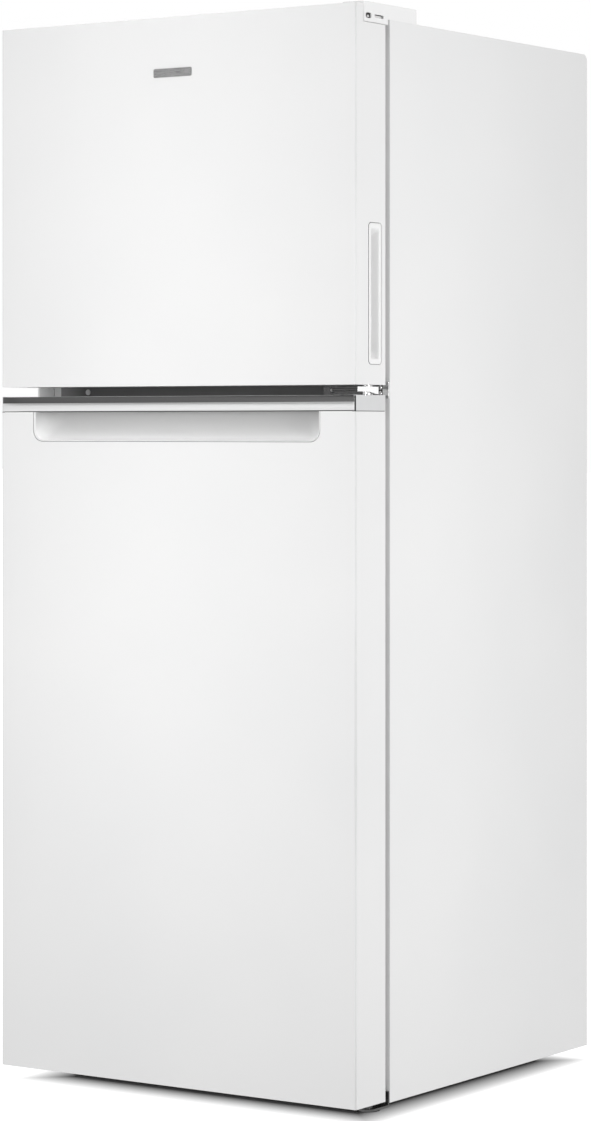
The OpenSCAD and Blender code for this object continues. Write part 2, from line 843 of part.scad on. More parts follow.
// Steel wrapper: front and both sides
module door_skin(z) {
    difference() {
        door_prism(z, 0);
        door_prism(grow(z, 1), sheet);
        box(sym(half_w - sheet), [door_y[1] - 1, door_y[1] + 1], grow(z, 1));
    }
}

// Moulded inner door: back sheet, pocket and the raised dyke round it
module door_liner(back_z, dyke_z) {
    wall = 2;
    difference() {
        union() {
            box(sym(half_w - sheet), [door_y[1] - wall, door_y[1]], back_z);
            round_box_y(sym(dyke_half), [door_y[1] - 1, dyke_rear], dyke_z, 12);
            box(sym(pocket_half + wall), [pocket_floor - wall, door_y[1]],
                grow(dyke_z, wall - dyke_w));
        }
        box(sym(pocket_half), [pocket_floor, dyke_rear + 1], grow(dyke_z, -dyke_w));
        dyke_hollow(dyke_z, wall);
    }
}

// Space inside the dyke, filled by the door's foam
module dyke_hollow(dyke_z, wall) {
    difference() {
        round_box_y(sym(dyke_half - wall), [door_y[1] - 3, dyke_rear - wall],
                    grow(dyke_z, -wall), 10);
        box(sym(pocket_half + wall), [pocket_floor - 10, dyke_rear], grow(dyke_z, wall - dyke_w));
    }
}

module door_foam(z, dyke_z) {
    wall = 2;
    difference() {
        door_prism(z, sheet);
        box(sym(half_w), [door_y[1] - wall, door_y[1] + 1], grow(z, 1));
        box(sym(pocket_half + wall), [pocket_floor - wall, door_y[1] + 1],
            grow(dyke_z, wall - dyke_w));
    }
    dyke_hollow_filled(dyke_z, wall);
}

module dyke_hollow_filled(dyke_z, wall) {
    intersection() {
        dyke_hollow(dyke_z, wall);
        box(sym(half_w), [door_y[1] - wall, dyke_rear], grow(dyke_z, 5));
    }
}

// Magnetic gasket: a flat ring with a bead along its middle
module door_gasket(z) {
    y = [door_y[1], door_y[1] + gasket_t];
    difference() {
        round_box_y(sym(gasket_half), y, z, 6);
        box(sym(gasket_half - gasket_w), grow(y, 1), grow(z, -gasket_w));
    }
}

// Door bin: open tray with a lower edge facing the shelves
module door_bin(z, h, r = 8) {
    tray(sym(pocket_half), [pocket_floor, bin_rear], [z, z + h], bin_wall, r);
}

// Freezer door

grip_y = [front_y + 30, front_y + 30 + grip_w];
grip_z = [freezer_door_z[0] + 27, freezer_door_z[0] + 27 + grip_h];
grip_depth = 20;

module top_notch() {
    box([notch_left, half_w + 1], [notch_front, door_y[1] + 1],
        [notch_floor, freezer_door_z[1] + 1]);
}

module freezer_door_skin() color(white_enamel) {
    difference() {
        door_skin(freezer_door_z);
        top_notch();
        round_box_x(sym(half_w + 1), grip_y, grip_z, 6);
    }
}

freezer_fill_z = [freezer_door_z[0] + freezer_cap_low_h, freezer_door_z[1] - freezer_cap_top_h];

module freezer_door_foam() color(foam_tone) {
    difference() {
        door_foam(freezer_fill_z, freezer_dyke_z);
        both_sides()
            round_box_x([half_w - grip_depth, half_w + 1], grip_y, grip_z, 6);
    }
}

module freezer_door_liner() color(white_enamel)
    door_liner(freezer_fill_z, freezer_dyke_z);

module freezer_door_gasket() color(light_plastic)
    door_gasket([freezer_door_z[0] + 5.5, freezer_in_z[1] + 20.5]);

module freezer_door_caps() color(white_enamel) {
    difference() {
        door_prism([freezer_fill_z[1], freezer_door_z[1]], sheet);
        top_notch();
        rod_z(pin_bore_d, [freezer_fill_z[1] + 1, freezer_door_z[1]], hinge_at);
    }
    difference() {
        door_prism([freezer_door_z[0], freezer_fill_z[0]], sheet);
        rod_z(pin_bore_d, [freezer_door_z[0] - 1, freezer_fill_z[0] - 1], hinge_at);
    }
}

module freezer_side_grips() color(light_plastic) {
    both_sides()
        difference() {
            round_box_x([half_w - grip_depth, half_w], grip_y, grip_z, 6);
            round_box_x([half_w - grip_depth + 3, half_w + 1], grow(grip_y, -6.5),
                        grow(grip_z, -8), 4);
        }
}

module freezer_door_bins() color(clear_plastic)
    for (z = freezer_bin_levels)
        door_bin(z, 70, 3.5);

module door_badge() color(zinc)
    round_box_y(sym(32), [front_y - badge_t, front_y],
                grow([freezer_door_z[1] - 76.5, freezer_door_z[1] - 76.5], 6), 2);

// Fresh-food door

fridge_skin_z = [fridge_door_z[0], fridge_door_z[1] - fridge_cap_top_h];
fridge_fill_z = [fridge_door_z[0] + fridge_cap_low_h, fridge_skin_z[1]];
scoop_z = [fridge_skin_z[1] - scoop_h, fridge_skin_z[1]];
scoop_depth = 30;
scoop_corner_r = 16;
trim_depth = 10;
trim_half = half_w - 3.5;

// Outline of the scoop seen from the front: square top, round lower corners
module scoop_window(y, inset) {
    round_box_y(sym(scoop_w / 2 - inset), y, [scoop_z[0] + inset, scoop_z[1] + 40],
                scoop_corner_r - inset);
}

module fridge_door_skin() color(white_enamel) {
    difference() {
        door_skin(fridge_skin_z);
        scoop_window([front_y - 1, front_y + sheet + 1], 0);
    }
}

// Block that the scoop is moulded in
module scoop_block() {
    box(sym(scoop_w / 2 + 6), [front_y + sheet, front_y + scoop_depth + 4],
        [scoop_z[0] - 6, scoop_z[1]]);
}

// Space for the fingers: a ramp from the front up to the full depth
module finger_space() {
    half = scoop_w / 2 - 2;
    top = scoop_z[1] + 14;
    intersection() {
        scoop_window([front_y - 1, front_y + scoop_depth], 2);
        // Side view: the floor rises towards the back
        translate([-half_w, 0, 0])
            rotate([90, 0, 90])
                linear_extrude(body_w)
                    polygon([
                        [front_y - 1, scoop_z[0] + 2],
                        [front_y + sheet + 1, scoop_z[0] + 2],
                        [front_y + 8, scoop_z[0] + 4.5],
                        [front_y + 14, scoop_z[0] + 9],
                        [front_y + 20, scoop_z[0] + 15],
                        [front_y + 25, scoop_z[0] + 22],
                        [front_y + 28.5, scoop_z[0] + 29],
                        [front_y + scoop_depth, scoop_z[0] + 35],
                        [front_y + scoop_depth, top],
                        [front_y - 1, top]
                    ]);
        // Plan: the ends close in towards the back
        translate([0, 0, scoop_z[0]])
            linear_extrude(top - scoop_z[0])
                polygon([
                    [-half, front_y - 1],
                    [half, front_y - 1],
                    [half, front_y + sheet + 1],
                    [half - 4, front_y + 10],
                    [half - 11, front_y + 20],
                    [half - 20, front_y + 27],
                    [half - 28, front_y + scoop_depth],
                    [28 - half, front_y + scoop_depth],
                    [20 - half, front_y + 27],
                    [11 - half, front_y + 20],
                    [4 - half, front_y + 10],
                    [-half, front_y + sheet + 1]
                ]);
    }
}

module handle_scoop() color(white_enamel) {
    difference() {
        scoop_block();
        finger_space();
    }
}

module handle_trim() color(zinc) {
    z = [fridge_skin_z[1], fridge_skin_z[1] + trim_h];
    translate([-trim_half, 0, 0])
        rotate([90, 0, 90])
            linear_extrude(2 * trim_half)
                polygon([
                    [front_y + trim_depth, z[0]],
                    [front_y + 1, z[0]],
                    [front_y, z[0] + 4],
                    [front_y, z[0] + 11],
                    [front_y + 0.8, z[0] + 12.5],
                    [front_y + 6, z[1]],
                    [front_y + trim_depth, z[1]]
                ]);
}

module fridge_door_caps() color(light_plastic) {
    difference() {
        door_prism([fridge_skin_z[1], fridge_door_z[1]], 0);
        box(sym(trim_half), [front_y - 1, front_y + trim_depth],
            [fridge_skin_z[1] - 1, fridge_door_z[1] + 1]);
        finger_space();
        rod_z(pin_bore_d, [fridge_skin_z[1] + 2, fridge_door_z[1] + 1], hinge_at);
    }
    difference() {
        door_prism([fridge_door_z[0], fridge_fill_z[0]], sheet);
        rod_z(pin_bore_d, [fridge_door_z[0] - 1, fridge_fill_z[0] - 1], hinge_at);
    }
}

module fridge_door_foam() color(foam_tone) {
    difference() {
        door_foam(fridge_fill_z, fridge_dyke_z);
        scoop_block();
    }
}

module fridge_door_liner() color(white_enamel)
    door_liner(fridge_fill_z, fridge_dyke_z);

module fridge_door_gasket() color(light_plastic)
    door_gasket([fridge_in_z[0] - 24.5, fridge_in_z[1] + 19.5]);

module fridge_door_bins() color(clear_plastic) {
    door_bin(bin_levels[0], 105);
    door_bin(bin_levels[1], 70);
    door_bin(bin_levels[2], 70);
    // Butter shelf under the hinged cover, with the ears that carry it
    difference() {
        union() {
            door_bin(dairy_z, 38);
            both_sides()
                box([pocket_half - 4, pocket_half], [pocket_floor, pocket_floor + 30],
                    [dairy_z + 38, dairy_hinge[1] + 8]);
        }
        rod_x(6 + 2 * running_gap, sym(pocket_half - 1), dairy_hinge);
    }
}

// Cover that swings up: roof plate, front plate and hinge rod
module dairy_cover() color(clear_plastic) {
    y = [dairy_hinge[0], bin_rear - 4];
    z = [dairy_z + 41, dairy_hinge[1] + 3];
    rod_x(6, sym(pocket_half - 1.5), dairy_hinge);
    box(sym(dairy_half), [y[0], y[1]], [z[1] - 3, z[1]]);
    box(sym(dairy_half), [y[1] - 3, y[1]], z);
}

cabinet_shell();
rear_panel();
bottom_pan();
cabinet_foam();
freezer_liner();
fridge_liner();
center_mullion();
top_hinge_bracket();
top_hinge_cover();
center_hinge_bracket();
bottom_hinge_bracket();
hinge_hole_plugs();
hinge_screws();
roller_brackets();
compressor();
compressor_feet();
condenser();
wall_spacers();
filter_drier();
drain_pan();
compressor_cover();
evaporator();
evaporator_cover();
fan_motor();
air_duct();
freezer_shelf();
glass_shelves();
shelf_frames();
crisper_cover();
lamp_lens();
control_housing();
power_inlet();
temperature_dial();
freezer_air_slider();
crisper_left();
crisper_right();
humidity_slider_left();
humidity_slider_right();
evaporator_fan();
rear_roller_left();
rear_roller_right();
leveling_leg_left();
leveling_leg_right();
freezer_door_skin();
freezer_door_foam();
freezer_door_liner();
freezer_door_gasket();
freezer_door_caps();
freezer_side_grips();
freezer_door_bins();
door_badge();
fridge_door_skin();
fridge_door_foam();
fridge_door_liner();
fridge_door_gasket();
fridge_door_caps();
handle_scoop();
handle_trim();
fridge_door_bins();
dairy_cover();
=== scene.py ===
"""Looks of the top freezer refrigerator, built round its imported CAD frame. Metres, +Z up."""
import json
import math

import bmesh
import bpy
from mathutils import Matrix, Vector


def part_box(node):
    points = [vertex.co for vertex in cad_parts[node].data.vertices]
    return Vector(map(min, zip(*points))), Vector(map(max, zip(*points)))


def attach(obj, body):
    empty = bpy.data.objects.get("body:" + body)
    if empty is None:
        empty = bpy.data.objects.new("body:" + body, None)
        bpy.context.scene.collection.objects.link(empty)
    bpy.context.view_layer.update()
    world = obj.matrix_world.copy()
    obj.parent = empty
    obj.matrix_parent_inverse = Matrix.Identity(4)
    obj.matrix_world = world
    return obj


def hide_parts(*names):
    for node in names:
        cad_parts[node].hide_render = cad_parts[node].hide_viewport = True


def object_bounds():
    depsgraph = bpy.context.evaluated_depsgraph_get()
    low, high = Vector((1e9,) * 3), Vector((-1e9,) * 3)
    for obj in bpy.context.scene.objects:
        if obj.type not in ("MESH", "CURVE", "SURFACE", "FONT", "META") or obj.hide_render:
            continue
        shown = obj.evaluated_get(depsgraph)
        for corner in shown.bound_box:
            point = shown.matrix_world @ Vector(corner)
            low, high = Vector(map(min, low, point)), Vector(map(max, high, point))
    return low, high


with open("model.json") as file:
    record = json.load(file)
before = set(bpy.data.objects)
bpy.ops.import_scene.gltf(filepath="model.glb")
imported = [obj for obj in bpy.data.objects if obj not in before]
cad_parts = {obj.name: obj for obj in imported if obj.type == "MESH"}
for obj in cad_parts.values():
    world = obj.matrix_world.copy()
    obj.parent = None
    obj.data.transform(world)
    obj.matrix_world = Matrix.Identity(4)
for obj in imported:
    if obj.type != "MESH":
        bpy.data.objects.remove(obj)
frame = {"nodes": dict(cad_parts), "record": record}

cad_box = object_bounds()
nodes = frame["nodes"]
scene = bpy.context.scene
MM = 0.001

# ---------------------------------------------------------------- materials


class Surface:
    """One procedural material, with short ways to add nodes to its tree."""

    def __init__(self, name, **sockets):
        self.material = bpy.data.materials.new(name)
        self.material.use_nodes = True
        self.tree = self.material.node_tree
        self.tree.nodes.clear()
        self.output = self.add("ShaderNodeOutputMaterial")
        self.shader = self.add("ShaderNodeBsdfPrincipled")
        self.join(self.shader.outputs["BSDF"], self.output.inputs["Surface"])
        for socket, value in sockets.items():
            self.shader.inputs[socket.replace("_", " ")].default_value = value
        self.coords = self.add("ShaderNodeTexCoord").outputs["Object"]

    def add(self, kind, **settings):
        node = self.tree.nodes.new(kind)
        for key, value in settings.items():
            setattr(node, key, value)
        return node

    def join(self, source, target):
        self.tree.links.new(source, target)

    def stretched(self, scale):
        """Object coordinates multiplied along each axis."""
        mapping = self.add("ShaderNodeMapping")
        mapping.inputs["Scale"].default_value = scale
        self.join(self.coords, mapping.inputs["Vector"])
        return mapping.outputs["Vector"]

    def noise(self, scale, detail=3.0, stretch=(1, 1, 1), roughness=0.5):
        node = self.add("ShaderNodeTexNoise")
        node.inputs["Scale"].default_value = scale
        node.inputs["Detail"].default_value = detail
        node.inputs["Roughness"].default_value = roughness
        self.join(self.stretched(stretch), node.inputs["Vector"])
        return node.outputs["Fac"]

    def math(self, operation, *values):
        node = self.add("ShaderNodeMath", operation=operation)
        for socket, value in zip(node.inputs, values):
            if isinstance(value, (int, float)):
                socket.default_value = value
            else:
                self.join(value, socket)
        return node.outputs["Value"]

    def ramp(self, factor, stops):
        node = self.add("ShaderNodeValToRGB")
        band = node.color_ramp
        while len(band.elements) < len(stops):
            band.elements.new(0.5)
        for element, (place, colour) in zip(band.elements, stops):
            element.position = place
            element.color = (*colour, 1)
        self.join(factor, node.inputs["Fac"])
        return node.outputs["Color"]

    def between(self, factor, low, high, start=0.3, end=0.7):
        """A number that goes from low to high as factor goes from start to end."""
        node = self.add("ShaderNodeMapRange")
        for socket, value in zip(("From Min", "From Max", "To Min", "To Max"),
                                 (start, end, low, high)):
            node.inputs[socket].default_value = value
        self.join(factor, node.inputs["Value"])
        return node.outputs["Result"]

    def colour(self, factor, low, high):
        self.join(self.ramp(factor, [(0.3, low), (0.7, high)]), self.shader.inputs["Base Color"])

    def roughness(self, factor, low, high):
        self.join(self.between(factor, low, high), self.shader.inputs["Roughness"])

    def bump(self, height, distance, strength):
        node = self.add("ShaderNodeBump")
        node.inputs["Strength"].default_value = strength
        node.inputs["Distance"].default_value = distance
        self.join(height, node.inputs["Height"])
        self.join(node.outputs["Normal"], self.shader.inputs["Normal"])


def grey(value, warmth=0.0):
    return (value * (1 + warmth), value, value * (1 - warmth))


def enamel(name):
    """Baked white enamel: faint mottling, orange peel, patchy gloss, painted shade darkening the
    upright rounded corners.
    """
    base = 0.68
    s = Surface(name, Coat_Weight=0.2, Coat_Roughness=0.15)
    facing = s.add("ShaderNodeSeparateXYZ")
    s.join(s.add("ShaderNodeTexCoord").outputs["Normal"], facing.inputs["Vector"])
    # Painted shade: the rounded upright corners, with normals between front and side, are pulled
    # darker
    corner_shade_mask = s.math("ABSOLUTE", s.math("MULTIPLY", facing.outputs["X"], facing.outputs["Y"]))
    mottle_less_corner_shade = s.math("SUBTRACT", s.noise(3.0, detail=2), corner_shade_mask)
    s.join(s.ramp(mottle_less_corner_shade, [(0.0, grey(base - 0.12)), (0.3, grey(base - 0.012, -0.002)),
                          (0.7, grey(base + 0.012, 0.001))]), s.shader.inputs["Base Color"])
    s.roughness(s.noise(14.0, detail=3), 0.34, 0.42)
    s.bump(s.noise(520.0, detail=2), 0.00002, 0.35)
    return s.material


def moulded(name, low, high, rough=(0.38, 0.5), grain=1500.0):
    """Moulded plastic with a fine spark-eroded grain."""
    s = Surface(name)
    s.colour(s.noise(9.0, detail=3), low, high)
    s.roughness(s.noise(40.0), *rough)
    s.bump(s.noise(grain, detail=1), 0.00003, 0.5)
    return s.material


def brushed(name, low, high, stretch, rough=(0.22, 0.36), anisotropy=0.5):
    """Metal with fine parallel lines along one axis."""
    s = Surface(name, Metallic=1.0, Anisotropic=anisotropy)
    lines = s.noise(60.0, detail=6, stretch=stretch, roughness=0.7)
    s.colour(lines, low, high)
    s.roughness(lines, *rough)
    s.bump(lines, 0.00001, 0.12)
    return s.material


def plated(name, low, high, rough=(0.12, 0.25)):
    """Zinc or chrome plate: bright, with cloudy spots."""
    s = Surface(name, Metallic=1.0)
    s.colour(s.noise(120.0, detail=4), low, high)
    s.roughness(s.noise(60.0, detail=3), *rough)
    s.bump(s.noise(900.0), 0.00001, 0.2)
    return s.material


def painted(name, low, high, rough=(0.4, 0.55)):
    """Coated sheet or foam with powder grain."""
    s = Surface(name)
    s.colour(s.noise(30.0, detail=4), low, high)
    s.roughness(s.noise(80.0), *rough)
    s.bump(s.noise(1200.0, detail=2), 0.00003, 0.5)
    return s.material


def see_through(name, tint_low, tint_high, rough, weight, ior=1.5):
    """Glass or clear plastic with faint smears in its gloss."""
    s = Surface(name, Transmission_Weight=weight, IOR=ior)
    s.colour(s.noise(4.0, detail=2), tint_low, tint_high)
    s.roughness(s.noise(12.0, detail=4), rough, rough + 0.05)
    return s.material


def graded(name, start, end, shade_start, shade_end, axis="Z"):
    """Coated or moulded surface whose tone changes from one place to another."""
    s = Surface(name)
    split = s.add("ShaderNodeSeparateXYZ")
    s.join(s.coords, split.inputs["Vector"])
    grain = s.math("MULTIPLY", s.noise(9.0, detail=3), 0.002)
    place = s.math("ADD", split.outputs[axis], grain)
    s.join(s.ramp(s.between(place, 0.0, 1.0, start, end),
                  [(0.0, grey(shade_start)), (1.0, grey(shade_end))]),
           s.shader.inputs["Base Color"])
    s.roughness(s.noise(40.0), 0.38, 0.5)
    s.bump(s.noise(1500.0, detail=1), 0.00003, 0.5)
    return s.material


MATERIALS = {
    "painted_steel": enamel("enamel_white"),
    "dark_painted_steel": painted("coated_sheet", grey(0.10), grey(0.13)),
    "insulation_foam": painted("foam", (0.62, 0.5, 0.24), (0.74, 0.62, 0.34), rough=(0.8, 0.9)),
    "liner_plastic": moulded("liner_white", grey(0.76), grey(0.79, -0.004), rough=(0.3, 0.38),
                             grain=700.0),
    "white_plastic": moulded("plastic_white", grey(0.70), grey(0.73)),
    "grip_plastic": moulded("plastic_grip", grey(0.72), grey(0.75)),
    "light_grey_plastic": moulded("plastic_light_grey", grey(0.52), grey(0.56, -0.01)),
    "hinge_steel": plated("zinc_plate", grey(0.62), grey(0.78, 0.004)),
    "trim_metal": brushed("satin_aluminium", grey(0.63), grey(0.68, -0.004), (1, 60, 60),
                          rough=(0.30, 0.35), anisotropy=0.3),
    "badge_metal": brushed("badge_aluminium", grey(0.20), grey(0.30), (1, 40, 40)),
    "gasket_rubber": moulded("gasket_vinyl", grey(0.33), grey(0.38), rough=(0.5, 0.62)),
    "black_rubber": moulded("rubber_black", grey(0.012), grey(0.022), rough=(0.6, 0.75)),
    "roller_plastic": moulded("nylon_black", grey(0.015), grey(0.03), rough=(0.4, 0.55)),
    "compressor_paint": painted("compressor_black", grey(0.008), grey(0.016), rough=(0.25, 0.4)),
    "condenser_paint": painted("condenser_black", grey(0.012), grey(0.02)),
    "copper": plated("copper_pipe", (0.50, 0.22, 0.11), (0.78, 0.42, 0.26), rough=(0.25, 0.45)),
    "evaporator_aluminium": brushed("evaporator_fins", grey(0.62), grey(0.78), (1, 1, 12),
                                    rough=(0.3, 0.45), anisotropy=0.2),
    "motor_casing": moulded("motor_black", grey(0.02), grey(0.035)),
    "shelf_glass": see_through("shelf_glass", (0.93, 0.98, 0.965), (0.95, 0.985, 0.975), 0.02, 1.0),
    "clear_plastic": see_through("clear_styrene", (0.96, 0.98, 0.985), (0.98, 0.99, 0.995),
                                 0.03, 0.95, 1.30),
    "lamp_plastic": see_through("lamp_frosted", (0.95, 0.95, 0.9), (0.98, 0.97, 0.94), 0.4, 0.6),
}
# A darker copy of the satin aluminium for the trim's upper bevel: painted dark reflection
TRIM_PAINTED_REFLECTION = brushed("satin_aluminium_painted_reflection", grey(0.125), grey(0.145), (1, 60, 60),
                     rough=(0.30, 0.35), anisotropy=0.3)
# Copies of the zinc plate: darkened for painted shade, bright for painted highlight, grey for
# painted half shade in the door gap
HINGE_PAINTED_SHADE = brushed("zinc_plate_painted_shade", grey(0.05), grey(0.12), (1, 40, 90))
HINGE_PAINTED_HIGHLIGHT = plated("zinc_plate_painted_highlight", grey(0.93), grey(0.97), rough=(0.3, 0.36))
HINGE_PAINTED_HALF_SHADE = brushed("zinc_plate_painted_half_shade", grey(0.72), grey(0.80), (1, 40, 90))
# Near-black strips at gaps and bezel edges: painted shadow
SEAM_PAINTED_SHADOW = painted("seam_shadow", grey(0.05), grey(0.07), rough=(0.7, 0.8))

# ---------------------------------------------------------------- carried-over CAD nodes

SLOT_OF = {row["node"]: row["material_slot"] for row in frame["record"]["subparts"]}

# Width of the softened edges in millimetres, where a node has its own
EDGE = {
    "top_hinge_cover": 0.9, "door_badge": 0.25,
    "top_hinge_bracket": 0.4, "bottom_hinge_bracket": 0.4,
    "freezer_door_liner": 1.8, "fridge_door_liner": 1.8, "freezer_liner": 1.6,
    "fridge_liner": 1.6, "control_housing": 1.6, "crisper_left": 1.2, "crisper_right": 1.2,
    "freezer_door_bins": 1.0, "fridge_door_bins": 1.0, "dairy_cover": 0.8, "air_duct": 1.2,
    "evaporator_cover": 0.8, "wall_spacers": 1.5, "compressor": 1.5, "drain_pan": 1.0,
    "shelf_frames": 0.9, "freezer_shelf": 0.7, "glass_shelves": 0.4, "crisper_cover": 0.9,
    "evaporator": 0.0, "evaporator_fan": 0.3, "condenser": 0.0,
}
DEFAULT_EDGE = 0.5


def soften(piece, width, segments, sharp):
    """Rounds the edges that are sharper than an angle in degrees; the width is in mm."""
    edge = piece.modifiers.new("soft_edges", "BEVEL")
    edge.width = width * MM
    edge.segments = segments
    edge.limit_method = "ANGLE"
    edge.angle_limit = math.radians(sharp)
    edge.harden_normals = True


def finish_cad_node(name):
    """Dresses a CAD node: its slot's material and softly rounded edges."""
    piece = nodes[name]
    piece.data.materials.clear()
    piece.data.materials.append(MATERIALS[SLOT_OF[name]])
    width = EDGE.get(name, DEFAULT_EDGE)
    if width:
        flat = piece.modifiers.new("merge_coplanar", "DECIMATE")
        flat.decimate_type = "DISSOLVE"
        flat.angle_limit = math.radians(0.5)
        soften(piece, width, 3 if width > 0.8 else 2, 35)


for node_name in nodes:
    finish_cad_node(node_name)
# The bottom bracket takes the darkened copy of the zinc: painted shade under the door
nodes["bottom_hinge_bracket"].data.materials[0] = HINGE_PAINTED_SHADE
# Painted light: the rail between the doors is painted lighter at its left end, where light reaches
# into the door gap, and darker to the right, as in the photo
rail_painted_light_x, rail_painted_shade_x = -0.283, -0.215
nodes["center_mullion"].data.materials[0] = graded("rail_coat_painted_light_and_shade", rail_painted_light_x, rail_painted_shade_x,
                                                   0.34, 0.10, axis="X")

# ---------------------------------------------------------------- mesh building


class Form:
    """Faces gathered in millimetres, then made into one object in metres."""

    def __init__(self):
        self.mesh = bmesh.new()

    def ring(self, points):
        return [self.mesh.verts.new(Vector(point) * MM) for point in points]

    def face(self, corners, look=0):
        self.mesh.faces.new(corners).material_index = look

    def bridge(self, first, second, wrap=True, look=0):
        for i in range(len(first) if wrap else len(first) - 1):
            j = (i + 1) % len(first)
            self.face((first[i], first[j], second[j], second[i]), look)

    def skin(self, rings, caps=True, loop=False, wrap=True, looks=None):
        """Quads from ring to ring, closed by end caps or back onto the first ring."""
        made = [self.ring(points) for points in rings]
        looks = looks or [0] * len(made)
        for first, second, look in zip(made, made[1:], looks):
            self.bridge(first, second, wrap, look)
        if loop:
            self.bridge(made[-1], made[0], wrap)
        elif caps:
            self.face(made[0], looks[0])
            self.face(made[-1], looks[-1])
        return made

    def bar(self, outline, axis, low, high, look=0):
        return self.skin([lift(outline, axis, low), lift(outline, axis, high)],
                         looks=[look, look])

    def make(self, name, body, slot, stands_for=(), edge=0.0, sharp=35, extra=()):
        bmesh.ops.recalc_face_normals(self.mesh, faces=self.mesh.faces)
        data = bpy.data.meshes.new(name)
        self.mesh.to_mesh(data)
        self.mesh.free()
        piece = bpy.data.objects.new(name, data)
        scene.collection.objects.link(piece)
        for material in (MATERIALS[slot], *extra):
            data.materials.append(material)
        data.shade_smooth()
        data.set_sharp_from_angle(angle=math.radians(sharp))
        if edge:
            soften(piece, edge, 2, sharp)
        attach(piece, body)
        if stands_for:
            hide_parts(*stands_for)


def lift(outline, axis, at):
    """A plane outline as points of space, the plane standing across the axis."""
    if axis == "x":
        return [(at, a, b) for a, b in outline]
    if axis == "y":
        return [(a, at, b) for a, b in outline]
    return [(a, b, at) for a, b in outline]


def arc(centre, radius, start, end, steps):
    """Points on an arc, its angles in degrees."""
    turn = [math.radians(start + (end - start) * i / steps) for i in range(steps + 1)]
    return [(centre[0] + radius * math.cos(a), centre[1] + radius * math.sin(a)) for a in turn]


def rounded(low, high, radius, steps=5):
    """A rounded rectangle between two corners, as a closed outline."""
    (x0, y0), (x1, y1) = low, high
    outline = []
    for centre, start in (((x1 - radius, y1 - radius), 0), ((x0 + radius, y1 - radius), 90),
                          ((x0 + radius, y0 + radius), 180), ((x1 - radius, y0 + radius), 270)):
        outline += arc(centre, radius, start, start + 90, steps)
    return outline


def circle(centre, radius, steps=24):
    return arc(centre, radius, 0, 360, steps)[:-1]


def box_mm(name):
    """A node's lowest and highest corners in millimetres."""
    low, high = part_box(name)
    return low / MM, high / MM


# ---------------------------------------------------------------- places read from the frame

cabinet_low, cabinet_high = box_mm("cabinet_shell")
fridge_cap_low, fridge_cap_high = box_mm("fridge_door_caps")
front = box_mm("fridge_door_skin")[0].y
cabinet_front = cabinet_low.y
cabinet_roof = cabinet_high.z
hinge_inset = 13.0      # part.scad: from the cabinet's side to the hinge axis
hinge_x = cabinet_high.x - hinge_inset
divider_mid = (fridge_cap_high.z + box_mm("freezer_door_caps")[0].z) / 2

# ---------------------------------------------------------------- handle


def make_trim():
    """Rounded metal bar: a bright lower face and an upper bevel in a darker copy of the metal, as
    painted dark reflection.
    """
    low, high = box_mm("handle_trim")
    half = fridge_cap_high.x - 0.5
    back = 10.0
    # Depth and rise round the bar, from its lower back edge over the front to the upper one
    section = [(back, 0.7), (1.8, 0.7), (0.8, 1.0), (0.25, 1.8), (0.05, 3.6), (0.0, 5.6),
               (0.0, 8.0), (0.15, 9.8), (0.5, 11.2), (1.0, 12.3), (1.7, 13.4), (2.7, 15.0),
               (3.9, 16.9), (5.2, 18.9), (6.2, 20.3), (7.0, 20.9), (back, 21.0)]
    proud = 0.45
    outline = [(low.y + depth - proud, low.z + rise) for depth, rise in section]
    # Past the door's rebate the bar runs on as a flat strip over the door's end caps
    strip = [(low.y + (depth if depth == back else 0) - proud, low.z + rise)
             for depth, rise in section]
    bar = Form()
    joint = 1.8
    turn = low.x + 0.3
    run_out = 30.0
    left_lap, step = 0.7, 0.2
    made = [bar.ring(lift(points, "x", at)) for points, at in
            ((strip, low.x - left_lap), (strip, turn - step), (outline, turn + run_out),
             (outline, -turn), (strip, -turn + step), (strip, half - joint))]
    count = len(outline)
    # Points from here round to the back edge take the darker copy: painted dark reflection on the
    # upper bevel, along the flat strips too
    painted_reflection_from = 9
    for first, second in zip(made, made[1:]):
        for i in range(count):
            j = (i + 1) % count
            painted_reflection_look = 1 if painted_reflection_from <= i < count - 1 else 0
            bar.face((first[i], first[j], second[j], second[i]), painted_reflection_look)
    bar.face(made[0])
    bar.face(made[-1])
    bar.make("handle_trim_bar", "fridge_door", "trim_metal", ("handle_trim",), edge=0.25,
             sharp=40, extra=(TRIM_PAINTED_REFLECTION,))
    # Painted shadow: black strips in the joint at the hinge end, and in the seam where the bar
    # meets the door, stand in for their shade
    core = Form()
    core.bar([(low.y - proud + 0.15, low.z + 0.2), (low.y + 3.0, low.z + 0.2),
              (low.y + 3.0, low.z + 20.8), (low.y - proud + 0.15, low.z + 20.8)], "x",
             half - joint - 0.2, half - 0.1)
    core.bar([(low.y + 0.35, low.z - 0.1), (low.y + 9.0, low.z - 0.1),
              (low.y + 9.0, low.z + 0.7), (low.y + 0.35, low.z + 0.7)], "x",
             turn + 2, -turn - 2)
    core.make("handle_trim_gap_shadow", "fridge_door", "black_rubber")


